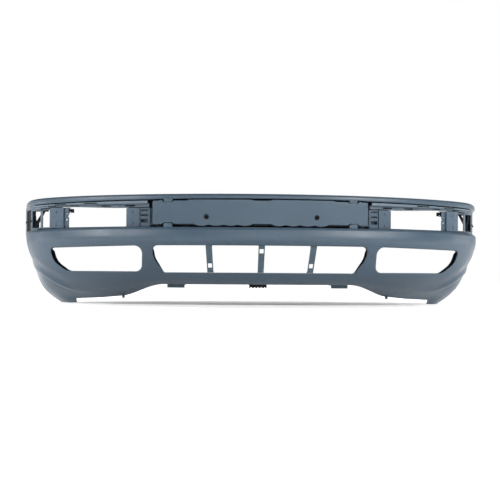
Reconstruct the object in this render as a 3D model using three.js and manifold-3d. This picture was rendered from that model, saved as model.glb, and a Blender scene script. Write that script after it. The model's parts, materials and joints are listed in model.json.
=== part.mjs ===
// Front bumper cover of a saloon car: a moulded skin that wraps round the nose to the wheel
// arches, with a number plate panel, slotted trim rails, lamp window posts and brackets, grille
// struts, black corner guides, swinging lamp catches and the fasteners that hold them together.
//
// Millimetres. +X runs to the right as seen from in front, +Y backwards into the car, +Z up.
// The origin is under the middle of the part, level with its lowest corners.
//
// Most shapes follow the nose line, a plan curve measured by arc length s from the middle of the
// nose. A point is given as (s, inset, z): inset is how far it lies behind the nose line.
import * as THREE from "three";
import { mergeVertices } from "three/addons/utils/BufferGeometryUtils.js";
import Module from "manifold-3d";

const wasm = await Module();
wasm.setup();

// ---------------------------------------------------------------- driving dimensions
const DEPTH = 570.5; // nose to wheel arch
const HALF_LENGTH = 1136; // half of the nose line, nose to wheel arch
const BOW_RADIUS = 1150; // across the front
const CORNER_RADIUS = 246;
const CORNER_START = 840; // arc length at which the front turns into the corner
const CORNER_END = 1025;
const EASE = 70; // half length over which one curvature blends into the next
const WALL = 3; // thickness of the skin and of the mouldings
const GAP = 0.4; // air between two pieces that touch
const SEAT = 1; // air between a piece and the curved floor it sits on
const ARCH = { y: 903, z: 110, radius: 352, flange: 16 }; // wheel arch circle, from the nose
const RIM_DEPTH = 22; // how far the rims of the lower openings turn back

// Feature lines of the skin, from the top flange down to the undertray flange. Each runs from
// the nose to the wheel arch and is given at five stations along the nose line.
const STATIONS = [0, 390, 590, 850, HALF_LENGTH];
const FEATURES = {
  flangeBack: { inset: [78, 78, 78, 66, 40], z: [381, 381, 381, 378, 370] },
  lipTop: { inset: [29, 29, 29, 23, 9], z: [381, 381, 381, 379, 371] },
  lipFront: { inset: [22, 22, 22, 16, 1], z: [375, 375, 375, 373, 365] },
  lipLow: { inset: [20, 20, 20, 14, 0], z: [364, 363, 362, 358, 353] },
  recessTop: { inset: [54, 54, 54, 36, -1], z: [361, 360, 359, 355, 349] },
  recessLow: { inset: [54, 54, 54, 36, -1], z: [262, 263, 264, 262, 256] },
  ledge: { inset: [17, 17, 17, 15, 0], z: [267, 268, 269, 266, 252] },
  shoulder: { inset: [6, 6, 6, 5, 2], z: [260, 261, 262, 259, 246] },
  nose: { inset: [0, 0, 0, 2, 9], z: [228, 228, 228, 226, 219] },
  waist: { inset: [8, 8, 9, 12, 16], z: [206, 205, 202, 198, 186] },
  sill: { inset: [60, 58, 52, 46, 37], z: [115, 116, 118, 120, 120] },
  tuck: { inset: [78, 84, 98, 90, 62], z: [90, 88, 74, 64, 58] },
  under: { inset: [91, 103, 142, 150, 100], z: [79, 77, 46, 26, 20] },
  bottom: { inset: [106, 126, 180, 179, 132], z: [72, 72, 29, 4, 0] },
  trayFlange: { inset: [214, 168, 196, 194, 148], z: [72, 72, 31, 6, 2] },
};
const UPPER = ["flangeBack", "lipTop", "lipFront", "lipLow", "recessTop", "recessLow", "ledge"];
const BODY = ["shoulder", "nose", "waist", "sill", "tuck", "under", "bottom"];
const BODY_PIECES = 10;

// Openings of the lower body, seen from in front: corners as [x, z, corner radius].
const VENT = [
  [406, 205, 28],
  [408, 116, 22],
  [677, 117, 40],
  [726, 151, 60],
  [739, 199, 12],
];
// What stays open inside the flange at the back of the rim, to which a grille is clipped.
const VENT_CLEAR = [
  [406, 205, 28],
  [408, 116, 22],
  [668, 117, 40],
  [713, 151, 60],
  [727, 199, 12],
];
const GRILLE_SIDE = [
  [330, 113, 10],
  [366, 160, 60],
  [374, 205, 18],
];

// Openings of the recess, as x or arc length from, to, and heights low, high.
const LAMP_WINDOW = { from: 457, to: 690, low: 272 };
const CORNER_WINDOW = { from: 846, to: 976, low: 274, high: 336, post: [888, 902] };
const SIDE_WINDOW = { from: 994, to: 1094, low: 264, high: 342 };

// What the lower edge loses between the undertray and the wheel arch, seen from in front.
const LOWER_STEP = [
  [473, -20],
  [655, -20],
  [655, 17],
  [560, 22],
  [473, 30],
];

const PLATE = { half: 371, low: 275, high: 359, inset: 10, bolt: { x: 188, z: 301.5, radius: 6 } };
const GROMMET = { flange: 8.5, socket: 3 }; // radii
// Tongues of the skin in notches of the number plate panel.
const TONGUE = { x: 320, width: 30, front: 18, back: 24, upper: [352, 364.5], lower: [266, 281] };
const NOTCH = { half: 8, side: 2 }; // half height, and room beside a tongue
const TOOTH = { x: 477, width: 8, front: 174, back: 182, low: 21, high: 33 };
const BRACKET = { from: 375, step: 409, to: 456, low: 270, high: 356, inset: 38 };
const POST = { from: 663, step: 677, to: 722, low: 270, high: 342, standOff: 13 };
const POST_MARKS = { holes: [299, 322.5], radius: 3.6, notch: 311 }; // in the inner flange
const CATCH = { x: 672, low: 326, high: 339, reach: 24, barrel: 5, pin: 2 };
const STRUT = { spread: 176, width: 22, thick: 4, hole: 14 };
const TRAY_CLIP = { x: 286, length: 62, drop: 12 };
const GUIDE = { y: 413, thick: 4, foot: { x: 799, z: 270, width: 24, depth: 14 } };
const GUIDE_FRAME = [
  [813, 342],
  [758, 342],
  [758, 335],
  [770, 335],
  [792, 292],
  [792, 268],
  [805, 268],
  [806, 298],
];
const GUIDE_MOUTH = [
  [806, 335],
  [780, 335],
  [802, 300],
];
// The trim rail, as shares of the way from lip to floor and drops below its top edge.
const RAIL = { from: 380, to: 930, thick: 2.5, face: 0.24, back: 0.7, step: -9, low: -20.5 };
const RAIL_SLOTS = {
  upper: { at: [576, 684], length: 58, low: -7, high: -2.5 },
  lower: { at: [446, 530, 640, 720], length: 40, low: -18.5, high: -12.5 },
};
// The slide behind the side window: ribs that hook into the fender, and a web at its rear end.
const SLIDE = { before: 12, after: 22, ribs: [282, 308], reach: 14, web: 32 };
const NUT = { width: 18, length: 26, sheet: 1.4, collar: 6, bore: 3, hole: 4, inset: 16 };
const RIVET = { head: 3.8, shank: 2 };
const TOP_NUTS = [150, 420]; // arc lengths of the folded nuts on the top flange
const RIVET_X = { bracket: 436, post: 704, rail: [480, 560] };

// ---------------------------------------------------------------- nose line
const { lerp, clamp, smoothstep, radToDeg } = THREE.MathUtils;

function curvature(s) {
  const into = smoothstep(s, CORNER_START - EASE, CORNER_START + EASE);
  const out = smoothstep(s, CORNER_END - EASE, CORNER_END + EASE);
  return (1 - into) / BOW_RADIUS + (into * (1 - out)) / CORNER_RADIUS;
}

const plan = [{ x: 0, y: 0, heading: 0 }];
for (let s = 1; s <= HALF_LENGTH + 40; s++) {
  const last = plan.at(-1);
  const heading = last.heading + curvature(s - 0.5);
  const middle = (last.heading + heading) / 2;
  plan.push({ x: last.x + Math.cos(middle), y: last.y + Math.sin(middle), heading });
}

function planAt(s) {
  const side = Math.sign(s) || 1;
  const index = Math.floor(Math.abs(s));
  const mix = (key) => lerp(plan[index][key], plan[index + 1][key], Math.abs(s) - index);
  return { x: side * mix("x"), y: mix("y"), heading: side * mix("heading") };
}

// A point measured from the nose, where Y is 0.
function point(s, inset, z) {
  const { x, y, heading } = planAt(s);
  return new THREE.Vector3(x - Math.sin(heading) * inset, y + Math.cos(heading) * inset, z);
}

// The arc length at which a line of that inset reaches x.
function lengthAtX(x, inset) {
  let low = 0;
  let high = HALF_LENGTH;
  while (high - low > 0.01) {
    const middle = (low + high) / 2;
    if (point(middle, inset, 0).x < x) low = middle;
    else high = middle;
  }
  return low;
}

// ---------------------------------------------------------------- sections
// Smooth cubic through the values at the stations, level at the nose and where they repeat.
function alongStations(values, s) {
  const place = Math.min(Math.abs(s), HALF_LENGTH);
  const last = STATIONS.length - 1;
  const i = clamp(STATIONS.findLastIndex((station) => station <= place), 0, last - 1);
  const slope = (k) => {
    const next = Math.min(k + 1, last);
    if (k === 0 || values[k] === values[k - 1]) return 0;
    return (values[next] - values[k - 1]) / (STATIONS[next] - STATIONS[k - 1]);
  };
  const h = STATIONS[i + 1] - STATIONS[i];
  const t = (place - STATIONS[i]) / h;
  const rise = t * t * (3 - 2 * t);
  return (
    lerp(values[i], values[i + 1], rise) +
    slope(i) * h * t * (1 - t) ** 2 -
    slope(i + 1) * h * t * t * (1 - t)
  );
}

function feature(name, s) {
  const { inset, z } = FEATURES[name];
  return new THREE.Vector2(alongStations(inset, s), alongStations(z, s));
}

// The curved part of the section, shoulder to bottom edge.
function bodySection(s) {
  const knots = BODY.map((name) => feature(name, s)).map((p) => new THREE.Vector3(p.x, p.y, 0));
  const curve = new THREE.CatmullRomCurve3(knots, false, "centripetal");
  return curve.getPoints(BODY_PIECES).map((p) => new THREE.Vector2(p.x, p.y));
}

const skinSection = (s) => [
  ...UPPER.map((name) => feature(name, s)),
  ...bodySection(s),
  feature("trayFlange", s),
];

// A path moved sideways by d, with mitred corners. A positive d moves it into the car.
function offsetPath(path, d) {
  return path.map((p, i) => {
    const before = path[Math.max(0, i - 1)];
    const after = path[Math.min(path.length - 1, i + 1)];
    const into = (i ? p.clone().sub(before) : after.clone().sub(p)).normalize();
    const out = after === p ? into : after.clone().sub(p).normalize();
    const normal = new THREE.Vector2(-into.y - out.y, into.x + out.x).normalize();
    const spread = Math.max(0.5, normal.x * -into.y + normal.y * into.x);
    return p.clone().addScaledVector(normal, d / spread);
  });
}

// ---------------------------------------------------------------- solids
function solidOf(geometry) {
  const bare = geometry.clone();
  bare.deleteAttribute("normal");
  bare.deleteAttribute("uv");
  const merged = mergeVertices(bare, 1e-4);
  return new wasm.Manifold(
    new wasm.Mesh({
      numProp: 3,
      vertProperties: new Float32Array(merged.attributes.position.array),
      triVerts: new Uint32Array(merged.index.array),
    }),
  );
}

function geometryOf(solid) {
  const { vertProperties, triVerts } = solid.getMesh();
  const geometry = new THREE.BufferGeometry();
  geometry.setAttribute("position", new THREE.BufferAttribute(new Float32Array(vertProperties), 3));
  geometry.setIndex(new THREE.BufferAttribute(new Uint32Array(triVerts), 1));
  return geometry;
}

const join = (...solids) => solids.reduce((all, one) => all.add(one));
const cut = (solid, ...tools) => tools.reduce((left, tool) => left.subtract(tool), solid);
const mirror = (solid) => solid.mirror([1, 0, 0]);
const bothSides = (solid) => solid.add(mirror(solid));
const moved = (solid, x, y, z) => solid.translate([x, y, z]);
const box = (x, y, z) => solidOf(new THREE.BoxGeometry(x, y, z));
const rod = (radius, length, sides = 12) =>
  solidOf(new THREE.CylinderGeometry(radius, radius, length, sides)); // along Y
const pin = (radius, length, sides = 12) => rod(radius, length, sides).rotate([90, 0, 0]);

// A solid made about its own origin, with x along the nose line, set down at a point of it.
function placed(solid, s, inset, z, heading = planAt(s).heading) {
  const { x, y } = point(s, inset, z);
  return solid.rotate([0, 0, radToDeg(heading)]).translate([x, y, z]);
}

const range = (from, to, pieces) =>
  Array.from({ length: pieces + 1 }, (_, i) => lerp(from, to, i / pieces));

// A closed wall between two fans of points, ring by ring, capped at both ends.
function wallSolid(fronts, backs) {
  const rings = fronts.map((front, i) => [...front, ...backs[i].toReversed()]);
  const count = rings[0].length;
  const end = (rings.length - 1) * count;
  const index = [];
  const quad = (a, b, c, d) => index.push(a, b, c, a, c, d);
  for (let i = 0; i < end; i += count) {
    for (let j = 0; j < count; j++) {
      const next = (j + 1) % count;
      quad(i + j, i + next, i + count + next, i + count + j);
    }
  }
  for (let j = 0; j + 1 < count / 2; j++) {
    const k = count - 1 - j;
    quad(j, k, k - 1, j + 1);
    quad(end + j, end + j + 1, end + k - 1, end + k);
  }
  const geometry = new THREE.BufferGeometry().setFromPoints(rings.flat());
  geometry.setIndex(index);
  return solidOf(geometry);
}

// A wall along the nose line whose section is a path, between two depths below that path.
function sweptWall(stations, section, near, far) {
  const ring = (depth) => (s) =>
    offsetPath(section(s), depth).map((p) => point(s, p.x, p.y));
  return wallSolid(stations.map(ring(near)), stations.map(ring(far)));
}

// A block that follows the nose line. Each bound is a number or a function of s.
function bentBlock(from, to, front, back, low, high, step = 40) {
  const value = (bound, s) => (typeof bound === "function" ? bound(s) : bound);
  const stations = range(from, to, Math.max(1, Math.round(Math.abs(to - from) / step)));
  const side = (inset) =>
    stations.map((s) => [high, low].map((z) => point(s, value(inset, s), value(z, s))));
  return wallSolid(side(front), side(back));
}

const outlineOf = (pairs) => pairs.map(([x, z]) => new THREE.Vector2(x, z));

// An outline in the x-z plane pulled along Y from near to far.
function prism(outline, near, far) {
  const shape = new THREE.Shape(outline);
  const geometry = new THREE.ExtrudeGeometry(shape, { depth: far - near, bevelEnabled: false });
  return solidOf(geometry.rotateX(Math.PI / 2).translate(0, far, 0));
}

// The outline through corners given as [x, z, radius], counterclockwise, each rounded by an arc.
function rounded(corners, pieces = 5) {
  return corners.flatMap(([x, z, radius], i) => {
    const corner = new THREE.Vector2(x, z);
    const toward = (k) => {
      const [nextX, nextZ] = corners[(k + corners.length) % corners.length];
      return new THREE.Vector2(nextX, nextZ).sub(corner).normalize();
    };
    const [back, ahead] = [toward(i - 1), toward(i + 1)];
    const half = back.angleTo(ahead) / 2;
    const centre = back.clone().add(ahead).setLength(radius / Math.sin(half)).add(corner);
    const start = back.clone().multiplyScalar(radius / Math.tan(half)).add(corner).sub(centre);
    const turn = Math.sign(back.cross(ahead)) * (2 * half - Math.PI);
    return range(0, turn, pieces).map((angle) =>
      start.clone().rotateAround(new THREE.Vector2(), angle).add(centre),
    );
  });
}

const flipped = (corners) => corners.map(([x, z, radius]) => [-x, z, radius]).toReversed();

// An outline moved outwards by d.
function grown(outline, d) {
  return outline.map((p, i) => {
    const along = outline[(i + 1) % outline.length].clone().sub(outline.at(i - 1)).normalize();
    return new THREE.Vector2(p.x + along.y * d, p.y - along.x * d);
  });
}

// ---------------------------------------------------------------- cover skin
const floorInset = (s) => feature("recessTop", s).x;
const onFloor = (offset) => (s) => floorInset(s) + offset;
const atX = (x) => lengthAtX(x, FEATURES.recessTop.inset[0]);

function skinStations() {
  const front = [...range(0, STATIONS[1], 5), ...range(STATIONS[1], 756, 6).slice(1)];
  const half = [...front, ...range(756, 1080, 12).slice(1), HALF_LENGTH];
  return [...half.slice(1).map((s) => -s).toReversed(), ...half];
}

function recessHole(from, to, low, high) {
  return bentBlock(from, to, onFloor(-5), onFloor(9), low, high);
}

const through = (outline) => prism(outline, -70, 430);

// The turned back rim round an opening of the lower body.
function openingRim(outline) {
  const band = sweptWall(skinStations(), bodySection, 1, RIM_DEPTH);
  return band.intersect(through(grown(outline, WALL)).subtract(through(outline)));
}

// The flange at the back of a side opening's rim, widest on the side of the wheel.
function ventFlange() {
  const band = sweptWall(skinStations(), bodySection, RIM_DEPTH - WALL, RIM_DEPTH);
  const [outer, clear] = [VENT, VENT_CLEAR].map((corners) => rounded(corners));
  return band.intersect(through(grown(outer, 1)).subtract(through(clear)));
}

function wheelArch(radius) {
  const wheel = rod(radius, 2000, 72).rotate([0, 0, 90]);
  return moved(wheel, 0, ARCH.y, ARCH.z);
}

// The lower edge is cut up in a step between the undertray and the wheel arch.
function lowerEdgeStep() {
  return prism(outlineOf(LOWER_STEP), 150, 560);
}

function locatingTooth() {
  const { x, width, front, back, low, high } = TOOTH;
  const s = lengthAtX(x, front);
  return bentBlock(s - width / 2, s + width / 2, front, back, low, high);
}

// A block on the number plate's line that reaches side mm past both edges of a tongue.
function tongueBlock(side, front, back, low, high) {
  const middle = lengthAtX(TONGUE.x, TONGUE.front);
  const half = TONGUE.width / 2 + side;
  return bentBlock(middle - half, middle + half, front, back, low, high);
}

function plateTongues() {
  const { front, back, upper, lower } = TONGUE;
  const blades = [upper, lower].map(([low, high]) => tongueBlock(0, front, back, low, high));
  return bothSides(join(...blades));
}

// The trim rail gets shallower towards the corner.
const railScale = (s) => lerp(1, 0.5, smoothstep(Math.abs(s), 500, 800));
const railTop = (s) => feature("recessTop", s).y - 1.2;
const windowTop = (s) => railTop(s) + (RAIL.low - 1) * railScale(s);
const railMiddle = (s) => railTop(s) + 0.5 * (RAIL.step + RAIL.low) * railScale(s);

const RIVETS = {
  bracket: [281, 322].map((z) => ({ s: atX(RIVET_X.bracket), z })),
  post: [281, 326].map((z) => ({ s: atX(RIVET_X.post), z })),
  rail: RIVET_X.rail.map(atX).map((s) => ({ s, z: railMiddle(s) })),
  slide: [SIDE_WINDOW.from - 6, SIDE_WINDOW.to + 10].map((s) => ({ s, z: 300 })),
};

function rivetHole({ s, z }) {
  return placed(rod(RIVET.shank + GAP, 60, 8), s, floorInset(s), z);
}

function coverSkin() {
  const shell = sweptWall(skinStations(), skinSection, 0, WALL);
  const band = sweptWall(skinStations(), bodySection, 1, ARCH.flange);
  const archRim = band.intersect(wheelArch(ARCH.radius + WALL));
  const rims = [VENT, flipped(VENT), [...GRILLE_SIDE, ...flipped(GRILLE_SIDE)]].map((corners) => {
    const outline = rounded(corners);
    return { rim: openingRim(outline), hole: through(outline) };
  });
  const lamp = LAMP_WINDOW;
  const lampHole = recessHole(atX(lamp.from), atX(lamp.to), lamp.low, windowTop);
  const { from, to, low, high, post } = CORNER_WINDOW;
  const side = SIDE_WINDOW;
  const sideHoles = [
    recessHole(from, post[0], low, high),
    recessHole(post[1], to, low, high),
    recessHole(side.from, side.to, side.low, side.high),
  ];
  const behindPlate = recessHole(-atX(340), atX(340), 288, 346);
  const nutHoles = TOP_NUTS.map((s) => placed(pin(NUT.hole, 30), s, 62, 380));
  const holes = Object.values(RIVETS).flat().map(rivetHole);
  const moulding = join(shell, archRim, bothSides(locatingTooth()), plateTongues());
  const opened = cut(
    join(moulding, ...rims.map(({ rim }) => rim)),
    ...rims.map(({ hole }) => hole),
    wheelArch(ARCH.radius),
    behindPlate,
    bothSides(join(lampHole, ...sideHoles, ...nutHoles, ...holes, lowerEdgeStep())),
  );
  return opened.add(bothSides(ventFlange()));
}

// ---------------------------------------------------------------- number plate panel
function platePanel() {
  const { low, high, inset, bolt } = PLATE;
  const end = lengthAtX(PLATE.half, inset);
  const outer = bentBlock(-end, end, inset, onFloor(-SEAT), low, high, 36);
  const hollow = bentBlock(
    -end + WALL,
    end - WALL,
    inset + WALL,
    70,
    low + WALL,
    high - WALL,
    36,
  );
  const notch = (z) => tongueBlock(NOTCH.side, 0, 30, z - NOTCH.half, z + NOTCH.half);
  const boltHole = placed(rod(bolt.radius, 60, 16), lengthAtX(bolt.x, inset), inset, bolt.z);
  return cut(outer, hollow, bothSides(join(notch(low), notch(high), boltHole)));
}

function plateGrommet() {
  const flange = moved(rod(GROMMET.flange, 2, 16), 0, -1 - GAP, 0);
  const body = moved(rod(PLATE.bolt.radius - GAP, 12, 16), 0, 5 - GAP, 0);
  const socket = moved(rod(GROMMET.socket, 11, 12), 0, 2, 0);
  const grommet = cut(flange.add(body), socket);
  return placed(grommet, lengthAtX(PLATE.bolt.x, PLATE.inset), PLATE.inset, PLATE.bolt.z);
}

// ---------------------------------------------------------------- trim rail
// A stepped channel under the lip, with slots for the clips of a trim strip.
function railSection(s) {
  const lip = feature("lipLow", s).x;
  const floor = floorInset(s) - SEAT;
  const at = (share, drop) =>
    new THREE.Vector2(lerp(lip, floor, share), railTop(s) + drop * railScale(s));
  const { face, back, step, low } = RAIL;
  return [at(face, 0), at(face, step), at(back, step - 1), at(back, low), at(0.98, low - 2)];
}

function railSlot(s, length, low, high) {
  const at = (drop) => (place) => railTop(place) + drop * railScale(place);
  return bentBlock(s - length / 2, s + length / 2, 0, 70, at(low), at(high), 20);
}

function trimRail() {
  const rail = sweptWall(range(atX(RAIL.from), RAIL.to, 16), railSection, 0, RAIL.thick);
  const slots = Object.values(RAIL_SLOTS).flatMap(({ at, length, low, high }) =>
    at.map((x) => railSlot(atX(x), length, low, high)),
  );
  return cut(rail, ...slots, ...RIVETS.rail.map(rivetHole));
}

// ---------------------------------------------------------------- lamp bracket and post
function lampBracket() {
  const { from, step, to, low, high, inset } = BRACKET;
  const face = bentBlock(atX(from), atX(to), inset, inset + WALL, low, high);
  const fin = bentBlock(atX(step), atX(step) + WALL, inset - 4, inset + 1, low, high);
  const side = bentBlock(atX(to) - WALL, atX(to), inset, onFloor(-SEAT), low, 336);
  const railRelief = bentBlock(atX(RAIL.from) - 8, atX(to) + 9, 20, 70, 334.5, 370);
  const slots = [
    [284, 296],
    [307, 312],
    [324, 330],
  ].map(([z0, z1]) => bentBlock(atX(from + 6), atX(step - 4), 20, 60, z0, z1));
  return cut(join(face, fin, side), railRelief, ...slots, ...RIVETS.bracket.map(rivetHole));
}

function lampPost() {
  const { from, step, to, low, high, standOff } = POST;
  const [inner, shelf, outer] = [atX(from), atX(step), atX(to)];
  const face = bentBlock(shelf, outer, onFloor(-standOff), onFloor(WALL - standOff), low, high, 20);
  const riser = bentBlock(shelf, shelf + WALL, onFloor(-standOff), onFloor(-4), low, high);
  const flange = bentBlock(inner, shelf + WALL, onFloor(-7), onFloor(-4), low, high);
  const side = bentBlock(outer - WALL, outer, onFloor(-standOff), onFloor(-SEAT), low, high);
  const ear = (z0, z1) =>
    bentBlock(atX(CATCH.x - 6), atX(CATCH.x + 6), onFloor(-5), onFloor(11), z0, z1);
  const ears = [ear(CATCH.low - 3.4, CATCH.low - 0.4), ear(CATCH.high + 0.4, high)];
  const hole = (z) => placed(rod(POST_MARKS.radius, 40, 12), atX(from + 7), floorInset(0), z);
  const notch = placed(box(6, 60, 6).rotate([0, 45, 0]), inner, floorInset(inner), POST_MARKS.notch);
  const hinge = atX(CATCH.x);
  const pinHole = placed(pin(CATCH.pin + 0.3, 60), hinge, floorInset(hinge) + 5, 333);
  return cut(
    join(face, riser, flange, side, ...ears),
    notch,
    ...POST_MARKS.holes.map(hole),
    pinHole,
    ...RIVETS.post.map(rivetHole),
  );
}

// The catch swings about an upright pin behind the flange of the post.
function lampCatch() {
  const middle = (CATCH.low + CATCH.high) / 2;
  const height = CATCH.high - CATCH.low;
  const barrel = pin(CATCH.barrel, height, 20);
  const strap = moved(box(CATCH.reach, 3, height - 3), -CATCH.reach / 2, 1, 0);
  const hook = moved(box(4, 7, height - 1), -CATCH.reach, -1, -3);
  const nib = moved(box(7, 3, 4), -CATCH.reach + 4, -2.5, -height / 2);
  const bore = pin(CATCH.pin + 0.3, height + 20);
  const s = atX(CATCH.x);
  return placed(cut(join(barrel, strap, hook, nib), bore), s, floorInset(s) + 5, middle);
}

function catchPin() {
  const s = atX(CATCH.x);
  return placed(pin(CATCH.pin, 20), s, floorInset(s) + 5, (CATCH.low + CATCH.high) / 2);
}

// ---------------------------------------------------------------- black guides
// A funnel shaped frame behind the corner window.
function cornerGuide() {
  const { y, thick } = GUIDE;
  const plate = prism(outlineOf(GUIDE_FRAME.toReversed()), y, y + thick);
  const { x, z, width, depth } = GUIDE.foot;
  const foot = moved(box(width, depth, thick), x, y + depth / 2, z);
  const mouth = prism(outlineOf(GUIDE_MOUTH.toReversed()), y - 10, y + 20);
  return cut(join(plate, foot), mouth);
}

// The slide that hooks the end of the cover to the fender, behind the side window.
function fenderSlide() {
  const { from, to, low, high } = SIDE_WINDOW;
  const [start, end] = [from - SLIDE.before, to + SLIDE.after];
  const strip = (s0, s1, far, z0, z1) =>
    bentBlock(s0, s1, onFloor(WALL + SEAT), onFloor(WALL + far), z0, z1, 16);
  const panel = strip(start, end, 4, low - 5, high + 4);
  const lip = strip(start, end, SLIDE.reach, high + 1, high + 4);
  const web = strip(end - 7, end - 4, SLIDE.web, low - 5, high + 4);
  const ribs = SLIDE.ribs.map((z) => strip(from + 14, to - 8, SLIDE.reach, z, z + WALL));
  return cut(join(panel, lip, web, ...ribs), ...RIVETS.slide.map(rivetHole));
}

// ---------------------------------------------------------------- grille strut
function grilleStrut(x) {
  const s = lengthAtX(x, 40);
  const { width, thick, hole } = STRUT;
  const top = { inset: 17, z: 205 - GAP };
  const foot = { inset: 66, z: 113 + GAP };
  const along = [
    [top.inset + 11, top.z],
    [top.inset, top.z],
    [foot.inset, foot.z],
    [foot.inset + 11, foot.z],
  ].map(([inset, z]) => new THREE.Vector2(inset, z));
  const half = width / 2;
  const strut = sweptWall([s - half, s + half], () => along, 0, thick);
  const opening = placed(box(hole, 60, hole), s, 45, x ? 137 : 186);
  return cut(strut, opening);
}

// ---------------------------------------------------------------- clips and nuts
// A spring plate that wraps the back edge of the undertray flange.
function trayClip(x) {
  const edge = (place) => feature("trayFlange", place).x;
  const s = lengthAtX(x, 170);
  const [start, end] = [s - 30, s + 30].map((place) => point(place, edge(place), 0));
  const heading = Math.atan2(end.y - start.y, end.x - start.x);
  const { length, drop } = TRAY_CLIP;
  const leaf = moved(box(length, 23.2, 1.6), 0, -7.4, -0.8 - GAP);
  const back = moved(box(length, 1.6, WALL + 3.2 + 2 * GAP), 0, 3.4, WALL / 2);
  const top = moved(box(length, 14, 1.6), 0, -2.8, WALL + GAP + 0.8);
  const apron = moved(box(length, 1.6, drop), 0, -18.2, -GAP - drop / 2);
  const gaps = x ? [] : [-24, -12, 0, 12, 24];
  const teeth = gaps.map((dx) => moved(box(5, 6, 6), dx, -18.2, -GAP - drop));
  const clip = cut(join(leaf, back, top, apron), ...teeth);
  return placed(clip, s, edge(s), feature("trayFlange", s).y, heading);
}

// A folded nut that clips over the back edge of the top flange.
function flangeNut(s) {
  const { width, length, sheet, collar, bore, inset } = NUT;
  const back = moved(box(width, sheet, 7), 0, 1.6, -WALL / 2);
  const leaf = (z) => moved(box(width, length, sheet), 0, 2.3 - length / 2, z);
  const clip = join(back, leaf(GAP + 1), leaf(-WALL - GAP - 1));
  const neck = moved(pin(collar, 5), 0, -inset, -WALL - GAP - 3);
  const thread = moved(pin(bore, 40), 0, -inset, 0);
  const edge = feature("flangeBack", s);
  return placed(cut(clip.add(neck), thread), s, edge.x, edge.y);
}

function rivet({ s, z }, front, length) {
  const head = moved(rod(RIVET.head, 2, 12), 0, -1 - GAP, 0);
  const shank = moved(rod(RIVET.shank, length, 8), 0, length / 2 - 1, 0);
  return placed(head.add(shank), s, front(s), z);
}

// ---------------------------------------------------------------- the assembly
function finish(color, roughness, metalness = 0) {
  return new THREE.MeshStandardMaterial({ color, roughness, metalness });
}
const primer = finish(0x6a7b8a, 0.45);
const darkPrimer = finish(0x566573, 0.55);
const black = finish(0x17191c, 0.6);
const steel = finish(0x8d9196, 0.35, 0.9);

const assembly = new THREE.Group();
assembly.position.set(0, -DEPTH / 2, 0);

function add(name, solid, material) {
  const mesh = new THREE.Mesh(geometryOf(solid), material);
  mesh.name = name;
  assembly.add(mesh);
}

// Left and right are as seen from in front of the car.
function addPair(name, solid, material) {
  add(`${name}_left`, mirror(solid), material);
  add(`${name}_right`, solid, material);
}

add("cover_skin", coverSkin(), primer);
add("plate_panel", platePanel(), primer);
addPair("plate_grommet", plateGrommet(), black);
addPair("trim_rail", trimRail(), darkPrimer);
addPair("lamp_bracket", lampBracket(), primer);
addPair("lamp_post", lampPost(), primer);
addPair("lamp_catch", lampCatch(), black);
addPair("catch_pin", catchPin(), steel);
addPair("corner_guide", cornerGuide(), black);
addPair("fender_slide", fenderSlide(), black);
add("grille_strut_centre", grilleStrut(0), darkPrimer);
addPair("grille_strut", grilleStrut(STRUT.spread), darkPrimer);
add("tray_clip_centre", trayClip(0), black);
addPair("tray_clip", trayClip(TRAY_CLIP.x), darkPrimer);
TOP_NUTS.forEach((s, i) => addPair(`flange_nut_${i + 1}`, flangeNut(s), steel));

const RIVET_SEATS = {
  bracket: { front: () => BRACKET.inset, length: 24 },
  post: { front: onFloor(-POST.standOff - 0.3), length: 21 },
  rail: { front: (s) => railSection(s)[3].x, length: 17 },
  slide: { front: onFloor(-SEAT), length: 10 },
};
for (const [piece, spots] of Object.entries(RIVETS)) {
  const { front, length } = RIVET_SEATS[piece];
  spots.forEach((spot, i) => {
    addPair(`${piece}_rivet_${i + 1}`, rivet(spot, front, length), black);
  });
}

export default assembly;
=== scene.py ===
"""Front bumper cover in blue grey primer, on a plain pale floor in soft studio light."""
import json
import math

import bmesh
import bpy
import numpy as np
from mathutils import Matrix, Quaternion, Vector
from mathutils.geometry import delaunay_2d_cdt


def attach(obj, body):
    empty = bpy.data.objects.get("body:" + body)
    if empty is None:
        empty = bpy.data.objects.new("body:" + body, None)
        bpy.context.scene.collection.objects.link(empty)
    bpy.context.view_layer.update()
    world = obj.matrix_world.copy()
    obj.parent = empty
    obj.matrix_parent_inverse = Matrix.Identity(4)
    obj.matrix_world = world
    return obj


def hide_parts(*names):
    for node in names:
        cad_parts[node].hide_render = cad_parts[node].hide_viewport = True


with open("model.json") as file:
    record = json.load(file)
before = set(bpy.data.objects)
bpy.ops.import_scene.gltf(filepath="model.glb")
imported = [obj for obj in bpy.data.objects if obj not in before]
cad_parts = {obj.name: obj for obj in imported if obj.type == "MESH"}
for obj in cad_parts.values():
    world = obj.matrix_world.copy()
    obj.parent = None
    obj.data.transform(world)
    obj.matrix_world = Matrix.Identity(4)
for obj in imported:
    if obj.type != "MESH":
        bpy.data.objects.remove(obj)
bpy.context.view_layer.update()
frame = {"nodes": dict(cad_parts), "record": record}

MM = 0.001

# ---------------------------------------------------------------- dimensions of the skin, in mm
DEPTH = 570.5
HALF_LENGTH = 1136.0
BOW_RADIUS = 1150.0
CORNER_RADIUS = 246.0
CORNER_START = 840.0
CORNER_END = 1025.0
EASE = 70.0
WALL = 3.0
RIM_DEPTH = 22.0
ARCH = {"y": 903.0, "z": 110.0, "radius": 352.0, "flange": 16.0}

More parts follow.
